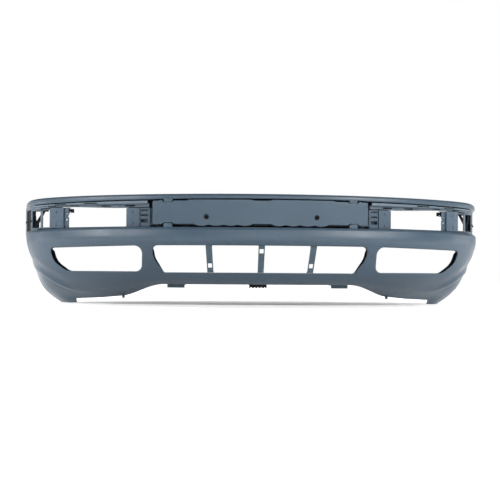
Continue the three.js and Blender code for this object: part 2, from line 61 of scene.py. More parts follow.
STATIONS = np.array([0, 390, 590, 850, HALF_LENGTH])
FEATURES = {
    "flange_back": ((78, 78, 78, 66, 40), (381, 381, 381, 378, 370)),
    "lip_top": ((29, 29, 29, 23, 9), (381, 381, 381, 379, 371)),
    "lip_front": ((22, 22, 22, 16, 1), (375, 375, 375, 373, 365)),
    "lip_low": ((20, 20, 20, 14, 0), (364, 363, 362, 358, 353)),
    "recess_top": ((54, 54, 54, 36, -1), (361, 360, 359, 355, 349)),
    "recess_low": ((54, 54, 54, 36, -1), (262, 263, 264, 262, 256)),
    "ledge": ((17, 17, 17, 15, 0), (267, 268, 269, 266, 252)),
    "shoulder": ((6, 6, 6, 5, 2), (260, 261, 262, 259, 246)),
    "nose": ((0, 0, 0, 2, 9), (228, 228, 228, 226, 219)),
    "waist": ((8, 8, 9, 12, 16), (206, 205, 202, 198, 186)),
    "sill": ((60, 58, 52, 46, 37), (115, 116, 118, 120, 120)),
    "tuck": ((78, 84, 98, 90, 62), (90, 88, 74, 64, 58)),
    "under": ((91, 103, 142, 150, 100), (79, 77, 46, 26, 20)),
    "bottom": ((106, 126, 180, 179, 132), (72, 72, 29, 4, 0)),
    "tray_flange": ((214, 168, 196, 194, 148), (72, 72, 31, 6, 2)),
}
# Upper feature lines with the radius of their corner and the pieces of the wall that follows.
UPPER = [
    ("flange_back", 0, 7),
    ("lip_top", 4.5, 1),
    ("lip_front", 4.5, 2),
    ("lip_low", 2.6, 5),
    ("recess_top", 3.0, 20),
    ("recess_low", 3.0, 6),
    ("ledge", 2.6, 1),
]
BODY = ["shoulder", "nose", "waist", "sill", "tuck", "under", "bottom"]
BODY_PIECES = [7, 5, 22, 17, 10, 5]
ARC_PIECES = 4
TRAY_PIECES = 6


# ---------------------------------------------------------------- nose line
def smoothstep(x, low, high):
    t = np.clip((x - low) / (high - low), 0, 1)
    return t * t * (3 - 2 * t)


def nose_line():
    """Arc length, x, y and heading along the right half of the nose line."""
    middles = np.arange(0.5, HALF_LENGTH + 40)
    into = smoothstep(middles, CORNER_START - EASE, CORNER_START + EASE)
    out = smoothstep(middles, CORNER_END - EASE, CORNER_END + EASE)
    curvature = (1 - into) / BOW_RADIUS + into * (1 - out) / CORNER_RADIUS
    heading = np.concatenate([[0], np.cumsum(curvature)])
    halfway = (heading[1:] + heading[:-1]) / 2
    x = np.concatenate([[0], np.cumsum(np.cos(halfway))])
    y = np.concatenate([[0], np.cumsum(np.sin(halfway))])
    return np.arange(len(heading)), x, y, heading


LINE_S, LINE_X, LINE_Y, LINE_HEADING = nose_line()


def heading_at(s):
    return np.sign(s) * np.interp(np.abs(s), LINE_S, LINE_HEADING)


def point(s, inset, z):
    """The place of (s, inset, z), measured from the nose."""
    heading = heading_at(s)
    x = np.sign(s) * np.interp(np.abs(s), LINE_S, LINE_X) - np.sin(heading) * inset
    y = np.interp(np.abs(s), LINE_S, LINE_Y) + np.cos(heading) * inset
    return np.stack(np.broadcast_arrays(x, y, z), axis=-1)


def length_at_x(x, inset):
    """The arc length at which a line of that inset reaches x."""
    s = np.arange(0, HALF_LENGTH)
    return float(np.interp(x, point(s, inset, 0)[:, 0], s))


def in_row_frame(points):
    """Nose frame millimetres to row frame metres."""
    return (np.asarray(points) - [0, DEPTH / 2, 0]) * MM


# ---------------------------------------------------------------- section of the skin
def along_stations(values, s):
    """Smooth cubic through the values at the stations, level at the nose and where they repeat."""
    place = np.minimum(np.abs(s), HALF_LENGTH)
    last = len(STATIONS) - 1
    values = np.asarray(values, float)
    slopes = np.zeros(last + 1)
    for k in range(1, last + 1):
        after = min(k + 1, last)
        if values[k] != values[k - 1]:
            slopes[k] = (values[after] - values[k - 1]) / (STATIONS[after] - STATIONS[k - 1])
    i = np.clip(np.searchsorted(STATIONS, place, side="right") - 1, 0, last - 1)
    h = STATIONS[i + 1] - STATIONS[i]
    t = (place - STATIONS[i]) / h
    rise = t * t * (3 - 2 * t)
    return (
        values[i] + (values[i + 1] - values[i]) * rise
        + slopes[i] * h * t * (1 - t) ** 2
        - slopes[i + 1] * h * t * t * (1 - t)
    )


def feature(name, s):
    inset, z = FEATURES[name]
    return np.stack([along_stations(inset, s), along_stations(z, s)], axis=-1)


def corner_arc(before, corner, after, radius):
    """Points of the arc that rounds a corner of a section, for every s at once."""
    back = before - corner
    ahead = after - corner
    back_length = np.linalg.norm(back, axis=-1, keepdims=True)
    ahead_length = np.linalg.norm(ahead, axis=-1, keepdims=True)
    back, ahead = back / back_length, ahead / ahead_length
    half = np.arccos(np.clip((back * ahead).sum(-1, keepdims=True), -1, 1)) / 2
    reach = np.minimum(radius / np.tan(half), 0.45 * np.minimum(back_length, ahead_length))
    fraction = np.linspace(0, 1, ARC_PIECES + 1)[:, None, None]
    start, end = corner + back * reach, corner + ahead * reach
    # a conic that leaves and meets the straight stretches tangentially
    weight = np.sin(half)
    a, b, c = (1 - fraction) ** 2, 2 * weight * fraction * (1 - fraction), fraction**2
    return (a * start + b * corner + c * end) / (a + b + c)


def body_curve(s):
    """Centripetal curve through the body's feature lines, for every s at once."""
    knots = [feature(name, s) for name in BODY]
    knots = [2 * knots[0] - knots[1], *knots, 2 * knots[-1] - knots[-2]]
    rows = []
    for k, pieces in enumerate(BODY_PIECES):
        p0, p1, p2, p3 = knots[k : k + 4]
        d0, d1, d2 = (
            np.sqrt(np.linalg.norm(b - a, axis=-1, keepdims=True))
            for a, b in ((p0, p1), (p1, p2), (p2, p3))
        )
        t1 = ((p1 - p0) / d0 - (p2 - p0) / (d0 + d1) + (p2 - p1) / d1) * d1
        t2 = ((p2 - p1) / d1 - (p3 - p1) / (d1 + d2) + (p3 - p2) / d2) * d1
        for t in np.linspace(0, 1, pieces + 1)[0 if k == 0 else 1 :]:
            rows.append(
                p1 * (2 * t**3 - 3 * t**2 + 1) + t1 * (t**3 - 2 * t**2 + t)
                + p2 * (3 * t**2 - 2 * t**3) + t2 * (t**3 - t**2)
            )
    return rows


def section(s):
    """The section at every s: an array of (row, s, inset and z)."""
    corners = [feature(name, s) for name, _, _ in UPPER] + [feature("shoulder", s)]
    rows = [corners[0]]
    for k, (_, _, pieces) in enumerate(UPPER):
        end = corners[k + 1]
        arc = []
        if k + 1 < len(UPPER):
            radius = UPPER[k + 1][1]
            arc = list(corner_arc(corners[k], corners[k + 1], corners[k + 2], radius))
            end = arc[0]
        start = rows[-1]
        rows += [start + (end - start) * f for f in np.linspace(0, 1, pieces + 1)[1:]]
        rows += arc[1:]
    body = body_curve(s)
    rows += body[1:]
    flange = feature("tray_flange", s)
    rows += [body[-1] + (flange - body[-1]) * f for f in np.linspace(0, 1, TRAY_PIECES + 1)[1:]]
    return np.array(rows)


UPPER_ROWS = 1 + sum(pieces for _, _, pieces in UPPER) + ARC_PIECES * (len(UPPER) - 1)
ROW_OF = {"shoulder": UPPER_ROWS - 1}
for body_name, body_pieces, next_name in zip(BODY, BODY_PIECES, BODY[1:]):
    ROW_OF[next_name] = ROW_OF[body_name] + body_pieces


# ---------------------------------------------------------------- fine shape of the surface
# The crease: its line in arc length and height, and where it fades in and out again.
CREASE_S = (600, 640, 800, 870, 940, HALF_LENGTH)
CREASE_Z = (34, 40, 47, 76, 109, 145)
CREASE_FADE_IN = (620, 860)
CREASE_FADE_OUT = (900, 1080)
CREASE_LOST = 0.6  # share of its depth that it has lost at the wheel arch
CREASE_DEPTH = 6.0
CREASE_HOLLOW = 64  # height of the shallow hollow above the crease
HOLLOW_DEPTH = 7.0


def crease(s, z):
    """How far the surface lies back below the crease and in the hollow above it."""
    line = np.interp(np.abs(s), CREASE_S, CREASE_Z)
    below = smoothstep(line - z, -2, 11)
    fades = smoothstep(np.abs(s), *CREASE_FADE_IN)
    fades = fades * (1 - CREASE_LOST * smoothstep(np.abs(s), *CREASE_FADE_OUT))
    hollow = smoothstep(line + CREASE_HOLLOW - z, 0, 0.6 * CREASE_HOLLOW)
    hollow = hollow * smoothstep(z - line, 0, 0.4 * CREASE_HOLLOW)
    return (CREASE_DEPTH * below + HOLLOW_DEPTH * hollow) * fades


# The step cut out of the lower edge: its ends in x, and the (x, z) line that it is cut to.
STEP_X = (473.0, 655.0)
STEP_LINE = ((473, 30), (560, 22), (655, 17))
STEP_INSET = 180.0  # of the bottom edge at the inner end of the step
STEP_REACH = (440, 960)  # arc lengths between which the step can lie
STEP_CLEAR = 2.5  # no other column of the grid comes closer to the end of the step
STEP_GAP = 0.6  # between the end of the step and the columns beside it
GRID_STRETCHES = ((0, 740, 92), (740, 1090, 70), (1090, HALF_LENGTH, 8))  # from, to, pieces
ARCH_FROM = 1060  # arc length beyond which the wheel arch cuts the skin
DRAWN_FROM = 1000.0  # arc length beyond which the grid is drawn in to meet the arch


def arch_y(z):
    reach = ARCH["radius"] ** 2 - (z - ARCH["z"]) ** 2
    return ARCH["y"] - np.sqrt(np.maximum(reach, 0))


def columns():
    """Arc lengths of the grid, closer together round the corner and at the lower step."""
    half = [0.0]
    for start, end, pieces in GRID_STRETCHES:
        half += list(np.linspace(start, end, pieces + 1)[1:])
    step = length_at_x(STEP_X[0], STEP_INSET)
    half = [place for place in half if abs(place - step) > STEP_CLEAR]
    half = np.sort([*half, step - STEP_GAP, step + STEP_GAP])
    return np.concatenate([-half[:0:-1], half])


def section_lengths(s):
    """Length along the section at arc length s, up to each of its rows."""
    rows = section(np.array([s]))[:, 0]
    steps = np.linalg.norm(np.diff(rows, axis=0), axis=-1)
    return np.concatenate([[0], np.cumsum(steps)])


# The parameter plane: S along the nose line, T down the section.
S = columns()
T = section_lengths(300.0)
ROWS = len(T)


def profile(s, t):
    """Inset and height of the skin's outer surface at arrays s and t."""
    rows = section(s)
    u = np.interp(t, T, np.arange(ROWS))
    low = np.clip(np.floor(u).astype(int), 0, ROWS - 2)
    part = (u - low)[:, None]
    index = np.arange(len(s))
    mixed = rows[low, index] * (1 - part) + rows[low + 1, index] * part
    inset, z = mixed[:, 0], mixed[:, 1]
    return inset + crease(s, z), z


def surface(s, t):
    """Points of the skin's outer surface at arrays s and t, in nose frame millimetres."""
    s = np.asarray(s, float)
    inset, z = profile(s, t)
    return point(s, inset, z)


def param_of_xz(x, z):
    """The (s, t) of the body surface seen from in front at x, z."""
    first, last = ROW_OF["shoulder"], ROW_OF["tuck"]
    s = np.array([length_at_x(abs(v), 20) * np.sign(v) for v in x])
    for _ in range(8):
        rows = section(s)[first : last + 1]
        t = np.empty(len(s))
        inset = np.empty(len(s))
        for i in range(len(s)):
            heights, insets = rows[::-1, i, 1], rows[::-1, i, 0]
            t[i] = np.interp(z[i], heights, T[first : last + 1][::-1])
            inset[i] = np.interp(z[i], heights, insets)
        miss = x - point(s, inset, z)[:, 0]
        s = s + miss / np.cos(heading_at(s))
    return np.stack([s, t], axis=-1)


# ---------------------------------------------------------------- outlines
def rounded(corners, pieces=8, step=8.0):
    """Closed outline through [x, z, radius] corners, counterclockwise, with even straights."""
    arcs = []
    count = len(corners)
    for i, (x, z, radius) in enumerate(corners):
        corner = np.array([x, z], float)
        back = np.array(corners[i - 1][:2], float) - corner
        ahead = np.array(corners[(i + 1) % count][:2], float) - corner
        back /= np.linalg.norm(back)
        ahead /= np.linalg.norm(ahead)
        half = math.acos(np.clip(back @ ahead, -1, 1)) / 2
        middle = back + ahead
        centre = corner + middle / np.linalg.norm(middle) * radius / math.sin(half)
        start = corner + back * radius / math.tan(half) - centre
        turn = math.copysign(math.pi - 2 * half, ahead[0] * back[1] - ahead[1] * back[0])
        angles = np.linspace(0, turn, pieces + 1)
        cos, sin = np.cos(angles), np.sin(angles)
        arcs.append(
            centre + np.stack([start[0] * cos - start[1] * sin, start[0] * sin + start[1] * cos], -1)
        )
    points = []
    for i, arc in enumerate(arcs):
        points += list(arc)
        gap = arcs[(i + 1) % count][0] - arc[-1]
        cuts = max(1, round(float(np.linalg.norm(gap)) / step))
        points += [arc[-1] + gap * k / cuts for k in range(1, cuts)]
    return np.array(points)


def grown(outline, d):
    """A closed counterclockwise outline moved outwards by d."""
    along = np.roll(outline, -1, axis=0) - np.roll(outline, 1, axis=0)
    along /= np.linalg.norm(along, axis=-1, keepdims=True)
    return outline + np.stack([along[:, 1], -along[:, 0]], -1) * d


def flipped(corners):
    return [(-x, z, radius) for x, z, radius in reversed(corners)]


# ---------------------------------------------------------------- meshes from the parameter plane
def inside(points, ring):
    """Which of the points lie inside a closed ring."""
    x, y = points[:, 0:1], points[:, 1:2]
    ax, ay = ring[:, 0], ring[:, 1]
    bx, by = np.roll(ax, -1), np.roll(ay, -1)
    crosses = (ay > y) != (by > y)
    with np.errstate(divide="ignore", invalid="ignore"):
        at = ax + (y - ay) * (bx - ax) / (by - ay)
    return (crosses & (x < at)).sum(axis=1) % 2 == 1


def distance_to(points, ring):
    """Distance of each point from a closed ring."""
    a, b = ring, np.roll(ring, -1, axis=0)
    along = b - a
    offset = points[:, None] - a[None]
    t = (offset * along).sum(-1) / np.maximum((along**2).sum(-1), 1e-9)
    nearest = a + along * np.clip(t, 0, 1)[..., None]
    return np.linalg.norm(points[:, None] - nearest, axis=-1).min(axis=1)


def triangulate(border, holes, scattered):
    """Triangles that fill a border round its holes. Returns the points in order and the faces."""
    loops = [border, *holes]
    points = np.concatenate([*loops, scattered])
    edges = []
    start = 0
    for loop in loops:
        edges += [(start + k, start + (k + 1) % len(loop)) for k in range(len(loop))]
        start += len(loop)
    flat = [Vector(p) for p in points]
    verts, _, faces, origins, _, _ = delaunay_2d_cdt(flat, edges, [], 0, 1e-5)
    first = [origin[0] for origin in origins]
    corners = np.array(faces)
    placed = np.array([tuple(v) for v in verts])
    middles = placed[corners].mean(axis=1)
    keep = inside(middles, border)
    for hole in holes:
        keep &= ~inside(middles, hole)
    return points, [[first[v] for v in face] for face in corners[keep]]


SHARP_ANGLE = math.radians(60)  # corners sharper than this are not smoothed over


class Builder:
    """Collects points in nose frame millimetres and faces, and makes a mesh object of them."""

    def __init__(self):
        self.points = []
        self.faces = []
        self.dark = []  # faces that take the second material

    def add_points(self, points):
        start = len(self.points)
        self.points += [tuple(p) for p in points]
        return list(range(start, start + len(points)))

    def strip(self, first, second, closed=True, turned=False):
        """Quads between two rows of the same length."""
        count = len(first)
        for k in range(count if closed else count - 1):
            n = (k + 1) % count
            quad = (first[k], first[n], second[n], second[k])
            self.faces.append(quad[::-1] if turned else quad)

    def rows(self, start, rings, closed=True, turned=False):
        """Strips from a row of vertices through further rings of points."""
        for ring in rings:
            following = self.add_points(ring)
            self.strip(start, following, closed, turned)
            start = following
        return start

    def closed_tube(self, rings):
        """A closed solid through rings of points, with its two ends filled."""
        first = self.add_points(rings[0])
        last = self.rows(first, rings[1:])
        self.faces.append(tuple(reversed(first)))
        self.faces.append(tuple(last))

    def make(self, name, outward=True):
        mesh = bpy.data.meshes.new(name)
        mesh.from_pydata([tuple(p) for p in in_row_frame(self.points)], [], self.faces)
        for index in self.dark:
            mesh.polygons[index].material_index = 1
        mesh.validate()
        bm = bmesh.new()
        bm.from_mesh(mesh)
        bmesh.ops.remove_doubles(bm, verts=bm.verts, dist=2e-5)
        for edge in bm.edges:
            edge.smooth = edge.calc_face_angle(0) < SHARP_ANGLE
        if outward:
            bmesh.ops.recalc_face_normals(bm, faces=bm.faces)
        bm.to_mesh(mesh)
        bm.free()
        mesh.shade_smooth()
        obj = bpy.data.objects.new(name, mesh)
        bpy.context.scene.collection.objects.link(obj)
        return obj


def fillet_steps(radius, pieces=5):
    """Offset outwards and depth of the rings of a quarter round edge, from the face inwards."""
    turn = np.linspace(0, math.pi / 2, pieces + 1)
    return list(zip(radius * (1 - np.sin(turn)), radius * (1 - np.cos(turn))))


# ---------------------------------------------------------------- cover skin
# Openings seen from in front: x, z and the radius of each corner.
GRILLE_SIDE = [(330, 113, 10), (366, 160, 60), (374, 205, 18)]
VENT = [(406, 205, 28), (408, 116, 22), (677, 117, 40), (726, 151, 60), (739, 199, 12)]
# The flange behind a rim: its width, and the places in x between which it grows to that.
VENT_FLANGE = (12.5, 560, 720)
GRILLE_FLANGE = (6.0, 325, 362)
FLANGE_TOP = 198  # the flanges do not reach above this height
BODY_FILLET = 4.5
RING_CLEAR = 1.6  # no vertex of the grid is kept closer to a window than this
SHADED_FLOOR = (276, 337)  # heights of the recess floor below and above which black plastic paints the shade of the recess
SHADED_TO = 930  # arc length where that ends
RAIL_LOW = 20.5
# Windows of the recess floor: arc lengths from and to, lowest and highest.
CORNER_WINDOWS = ((846, 888, 274, 336), (902, 976, 274, 336))
SIDE_WINDOW = (994, 1094, 264, 342)
LAMP_WINDOW = {"x": (457, 690), "low": 272}
PLATE_WINDOW = {"x": 340, "low": 288, "high": 346}
# Outward and inward reach of the rolled edge along the wheel arch, ring by ring.
ARCH_ROLL = ((1.2, 0.4), (2.0, 1.6), (2.4, 3.2), (2.6, 8), (2.8, ARCH["flange"]))
ARCH_LOWEST = 1.0  # the back of the roll slopes down, so it starts no lower than this


def at_x(x):
    """The arc length at which the recess floor reaches x."""
    return length_at_x(x, FEATURES["recess_top"][0][0])


def floor_inset(s):
    return feature("recess_top", s)[..., 0]


def rail_scale(s):
    return 1 - 0.5 * smoothstep(np.abs(s), 500, 800)


def rail_top(s):
    return feature("recess_top", s)[..., 1] - 1.2


def window_top(s):
    return rail_top(s) - (RAIL_LOW + 1) * rail_scale(s)


def floor_t(s, z):
    """Section length at height z of the recess floor."""
    first = UPPER_ROW_START["recess_top"]
    last = UPPER_ROW_START["recess_low"]
    heights = section(s)[first : last + 1, :, 1]
    return np.array(
        [np.interp(z[i], heights[::-1, i], T[first : last + 1][::-1]) for i in range(len(s))]
    )


def upper_row_starts():
    """Row at the middle of each rounded corner of the upper section."""
    starts, row = {}, 0
    for name, radius, pieces in UPPER:
        if radius:
            row += ARC_PIECES // 2
        starts[name] = row
        row += (ARC_PIECES // 2 if radius else 0) + pieces
    return starts


UPPER_ROW_START = upper_row_starts()


def recess_outline(start, end, low, high):
    """Window of the recess floor. high is a height, or a function of the arc length."""
    across = np.linspace(start, end, max(2, round((end - start) / 8)) + 1)
    highs = high(across) if callable(high) else np.full(len(across), high)
    upper = floor_t(across, highs)
    lower = floor_t(across, np.full(len(across), low))
    right = [(end, t) for t in np.linspace(upper[-1], lower[-1], 9)[1:-1]]
    left = [(start, t) for t in np.linspace(lower[0], upper[0], 9)[1:-1]]
    return np.array([*zip(across, upper), *right, *zip(across[::-1], lower[::-1]), *left])


def counterclockwise(ring):
    x, y = ring[:, 0], ring[:, 1]
    area = (x * np.roll(y, -1) - np.roll(x, -1) * y).sum()
    return ring if area > 0 else ring[::-1]


BODY_WINDOWS = [
    (VENT, VENT_FLANGE),
    (flipped(VENT), VENT_FLANGE),
    ([*GRILLE_SIDE, *flipped(GRILLE_SIDE)], GRILLE_FLANGE),
]


def on_body(corners):
    """The outline through corners seen from in front, in the parameter plane."""
    outline = rounded(corners)
    return counterclockwise(param_of_xz(outline[:, 0], outline[:, 1]))


def skin_windows():
    """Every opening of the skin: its outline in the parameter plane, and its rim if it has one."""
    windows = [(on_body(corners), (corners, *flange)) for corners, flange in BODY_WINDOWS]
    lamp_start, lamp_end = (at_x(x) for x in LAMP_WINDOW["x"])
    plate_end = at_x(PLATE_WINDOW["x"])
    right = [(lamp_start, lamp_end, LAMP_WINDOW["low"], window_top), *CORNER_WINDOWS, SIDE_WINDOW]
    recess = []
    for start, end, low, high in right:
        recess += [(start, end, low, high), (-end, -start, low, high)]
    recess.append((-plate_end, plate_end, PLATE_WINDOW["low"], PLATE_WINDOW["high"]))
    windows += [(counterclockwise(recess_outline(*window)), None) for window in recess]
    return windows


def draw_in_at_arch(s):
    """Moves the ends of the grid's rows in, so that they lie along the wheel arch."""
    ends = np.arange(ARCH_FROM, HALF_LENGTH + 1)
    for row in range(ROW_OF["shoulder"], ROWS):
        places = surface(ends, np.full(len(ends), T[row]))
        beyond = np.nonzero(places[:, 1] > arch_y(places[:, 2]))[0]
        if len(beyond):
            scale = (ends[beyond[0]] - 1 - DRAWN_FROM) / (HALF_LENGTH - DRAWN_FROM)
            far = np.abs(s[row]) > DRAWN_FROM
            drawn = DRAWN_FROM + (np.abs(s[row]) - DRAWN_FROM) * scale
            s[row] = np.where(far, np.sign(s[row]) * drawn, s[row])


def draw_up_at_step(t):
    """Ends the grid's columns higher where the step is cut out of the lower edge."""
    tuck = ROW_OF["tuck"]
    down = np.linspace(T[tuck], T[-1], 400)
    for column in np.nonzero((np.abs(S) > STEP_REACH[0]) & (np.abs(S) < STEP_REACH[1]))[0]:
        places = surface(np.full(len(down), S[column]), down)
        x, z = np.abs(places[:, 0]), places[:, 2]
        line = np.interp(x, *zip(*STEP_LINE))
        lost = np.nonzero((x > STEP_X[0]) & (x < STEP_X[1]) & (z < line))[0]
        if len(lost):
            scale = (down[lost[0]] - T[tuck]) / (T[-1] - T[tuck])
            t[tuck:, column] = T[tuck] + (T[tuck:] - T[tuck]) * scale


def grid_parameters():
    """(s, t) of every grid vertex, drawn in at the wheel arch and at the lower step."""
    s = np.tile(S, (ROWS, 1))
    t = np.tile(T[:, None], (1, len(S)))
    draw_in_at_arch(s)
    draw_up_at_step(t)
    return s, t


def patch_bounds(ring, margin):
    """Columns and rows of the grid that enclose a ring."""
    low, high = ring.min(axis=0) - margin, ring.max(axis=0) + margin
    i0 = np.searchsorted(S, low[0]) - 1
    i1 = np.searchsorted(S, high[0])
    j0 = np.searchsorted(T, low[1]) - 1
    j1 = np.searchsorted(T, high[1])
    return i0, i1, j0, j1


def cover_skin():
    """The skin: one grid, with the part round each window filled afresh."""
    builder = Builder()
    s, t = grid_parameters()
    ids = np.array([builder.add_points(surface(s[row], t[row])) for row in range(ROWS)])
    taken = np.zeros((ROWS - 1, len(S) - 1), bool)
    high_gap = floor_t(S, np.full(len(S), SHADED_FLOOR[1]))
    low_gap = floor_t(S, np.full(len(S), SHADED_FLOOR[0]))
    for outline, rim in skin_windows():
        ring = grown(outline, BODY_FILLET) if rim else outline
        i0, i1, j0, j1 = patch_bounds(ring, 4 if rim else 2)
        taken[j0:j1, i0:i1] = True
        ring_ids = window_patch(builder, ids, ring, i0, i1, j0, j1)
        if rim:
            rim_strips(builder, outline, ring_ids, *rim)
    for j in range(ROWS - 1):
        for i in range(len(S) - 1):
            if not taken[j, i]:
                # black plastic here paints the shade under the lip, behind the rail and along the
                # foot of the recess
                if in_painted_recess_shade(t[j, i], S[i], low_gap[i], high_gap[i]):
                    builder.dark.append(len(builder.faces))
                builder.faces.append((ids[j, i], ids[j + 1, i], ids[j + 1, i + 1], ids[j, i + 1]))
    for column, side in ((0, -1), (len(S) - 1, 1)):
        arch_flange(builder, ids[:, column], side)
    skin = builder.make("skin_shell", outward=False)
    solidify(skin, WALL)
    return skin


def window_patch(builder, ids, ring, i0, i1, j0, j1):
    """Fills the rectangle of the grid round a window, and returns the window's vertices."""
    across, down = np.arange(i0, i1 + 1), np.arange(j0, j1 + 1)
    border = (
        [(j0, i) for i in across[:-1]] + [(j, i1) for j in down[:-1]]
        + [(j1, i) for i in across[:0:-1]] + [(j, i0) for j in down[:0:-1]]
    )
    border_points = np.array([(S[i], T[j]) for j, i in border])
    inner = np.array([(j, i) for j in down[1:-1] for i in across[1:-1]])
    inner_points = np.array([(S[i], T[j]) for j, i in inner])
    free = ~inside(inner_points, ring) & (distance_to(inner_points, ring) > RING_CLEAR)
    inner, inner_points = inner[free], inner_points[free]
    _, faces = triangulate(border_points, [ring], inner_points)
    ring_ids = builder.add_points(surface(ring[:, 0], ring[:, 1]))
    order = [ids[j, i] for j, i in border] + ring_ids + [ids[j, i] for j, i in inner]
    builder.faces += [tuple(order[v] for v in face)[::-1] for face in faces]
    return ring_ids


def in_painted_recess_shade(t, s, low_gap, high_gap):
    """Whether a place takes black plastic as painted shade: behind the rail, and along the foot of
    the recess.
    """
    roof = T[UPPER_ROW_START["lip_low"] + 3]
    foot = T[UPPER_ROW_START["recess_low"]]
    return abs(s) < SHADED_TO and (roof < t < high_gap or low_gap < t < foot)


def rim_strips(builder, outline, ring_ids, corners, width, start, end):
    """The rounded edge of a window, the rim behind it in bare black plastic that also paints the
    shade inside the opening, and the flange at the rim's back.
    """
    rings = []
    for offset, depth in fillet_steps(BODY_FILLET)[1:]:
        edge = grown(outline, offset)
        rings.append(surface(edge[:, 0], edge[:, 1]) + [0, depth, 0])
    rounded_edge = builder.rows(ring_ids, rings, turned=True)
    bare_shaded_rim_from = len(builder.faces)
    edge = surface(outline[:, 0], outline[:, 1])
    depths = np.linspace(BODY_FILLET, RIM_DEPTH - 1, 5)[1:]
    rim = builder.rows(rounded_edge, [edge + [0, depth, 0] for depth in depths], turned=True)
    seen = rounded(corners)
    reach = smoothstep(np.abs(seen[:, 0]), start, end) * smoothstep(FLANGE_TOP - seen[:, 1], 0, 12)
    x = np.abs(seen[:, 0]) - width * reach
    clear = counterclockwise(param_of_xz(np.sign(seen[:, 0]) * x, seen[:, 1]))
    inner = surface(clear[:, 0], clear[:, 1])
    builder.rows(rim, [inner + [0, depth, 0] for depth in (RIM_DEPTH - 1, RIM_DEPTH)], turned=True)
    # rim and flange take black plastic: bare plastic, and painted shade inside the opening
    builder.dark += range(bare_shaded_rim_from, len(builder.faces))


def arch_flange(builder, column, side):
    """The edge of the wheel arch turns in towards the wheel."""
    rows = list(range(ROW_OF["nose"], ROW_OF["bottom"] + 1))
    edge = np.array([builder.points[column[row]] for row in rows])
    start = [column[row] for row in rows]
    raised = np.maximum(edge, [-np.inf, -np.inf, ARCH_LOWEST])
    rings = [raised + [-side * inward, outward, 0] for outward, inward in ARCH_ROLL]
    builder.rows(start, rings, closed=False, turned=side < 0)


def solidify(obj, thickness):
    """Gives a sheet its thickness, behind the surface. The back takes the second material."""
    modifier = obj.modifiers.new("thickness", "SOLIDIFY")
    modifier.thickness = thickness * MM
    modifier.offset = -1
    modifier.material_offset = 1
    modifier.material_offset_rim = 0
    modifier.use_even_offset = False


# ---------------------------------------------------------------- number plate panel and tongues
PLATE_HALF = 371
PLATE_INSET = 10.0
PLATE_EDGES = {"low": 274.5, "high": 360.0}
PLATE_STEP = 3.0  # how far the edge stands back where a gap shows dark
PLATE_GAPS = {
    "low": ((-34, 34), (228, 303), (340, 380)),
    "high": ((-31, 31), (252, 303), (346, 380)),
}
SCALLOP = {"from": 34, "to": 228, "pitch": 48.5, "depth": 4.0}
TONGUE = {"x": 320, "half": 15, "notch": 8, "front": 13.0, "back": 24.0}
TONGUE_HEIGHTS = ((352, 365), (266, 281))
BOLT = {"x": 188, "z": 301.5, "radius": 6.0}
PLATE_FILLET = 1.4
EMBOSSED_RING = ((7.4, 0.0), (8.6, 0.0), (14.0, 0.05), (15.0, 0.35), (16.0, 0.05), (17.0, 0.0))
GRID = 9.0
# The locating teeth below the skin's lower edge: their place, heights and insets.
TOOTH = {"x": 477, "line": 178, "half": 4, "low": 21, "high": 33, "front": 174, "back": 182}


def s_of_x(x):
    """The arc lengths at which the number plate's line reaches the places x."""
    s = np.arange(0, HALF_LENGTH)
    return np.sign(x) * np.interp(np.abs(x), point(s, PLATE_INSET, 0)[:, 0], s)


def within(x, start, end, soft):
    """1 between start and end, falling to 0 over the soft distance."""
    return smoothstep(x, start - soft, start) * (1 - smoothstep(x, end, end + soft))


def plate_edge(x, side):
    """Height of the panel's lower or upper edge, with its gaps, scallops and notches."""
    away = np.abs(x)
    inward = 1 if side == "low" else -1
    reach = TONGUE["half"] + 1.5
    gaps = sum(within(away, start, end, 2.5) for start, end in PLATE_GAPS[side])
    notch = within(away, TONGUE["x"] - reach, TONGUE["x"] + reach, 1.5)
    height = PLATE_EDGES[side] + inward * (PLATE_STEP * gaps + TONGUE["notch"] * notch)
    if side == "low":
        wave = np.abs(np.sin(math.pi * (away - SCALLOP["from"]) / SCALLOP["pitch"]))
        height = height - SCALLOP["depth"] * wave * within(away, SCALLOP["from"], SCALLOP["to"], 1)
    return height


def relaxed(outline, times=2):
    for _ in range(times):
        outline = (np.roll(outline, 1, axis=0) + 2 * outline + np.roll(outline, -1, axis=0)) / 4
    return outline


def plate_outline():
    across = np.linspace(-PLATE_HALF, PLATE_HALF, 330)
    lower, upper = plate_edge(across, "low"), plate_edge(across, "high")
    right = np.linspace(lower[-1], upper[-1], 34)[1:-1]
    end = np.full(len(right), PLATE_HALF)
    x = np.concatenate([across, end, across[::-1], -end])
    z = np.concatenate([lower, right, upper[::-1], right[::-1]])
    return relaxed(np.stack([s_of_x(x), z], axis=-1))


def circle(centre, radius, pieces=28):
    turn = np.linspace(0, 2 * math.pi, pieces, endpoint=False)
    return centre + radius * np.stack([np.cos(turn), np.sin(turn)], axis=-1)


def bolt_centres():
    s = s_of_x(np.array([BOLT["x"]]))[0]
    return [np.array([side * s, BOLT["z"]]) for side in (-1, 1)]


def plate_face(points):
    """Places of (s, z) points on the panel's face, sunk in a ring round each bolt."""
    radii, depths = zip(*EMBOSSED_RING)
    depth = np.zeros(len(points))
    for centre in bolt_centres():
        depth += np.interp(np.linalg.norm(points - centre, axis=-1), radii, depths, right=0)
    return point(points[:, 0], PLATE_INSET + depth, points[:, 1])


def plate_points(face, holes):
    """Points that fill the panel's face evenly, closer together round the bolts."""
    s, z = np.meshgrid(np.arange(-380, 381, GRID), np.arange(264, 365, GRID))
    spread = np.stack([s.ravel(), z.ravel()], axis=-1)
    free = inside(spread, face) & (distance_to(spread, face) > 3)
    rings = []
    for centre in bolt_centres():
        free &= np.linalg.norm(spread - centre, axis=-1) > EMBOSSED_RING[-1][0] + 2
        rings += [circle(centre, radius, 32) for radius, _ in EMBOSSED_RING]
    return np.concatenate([spread[free], *rings])


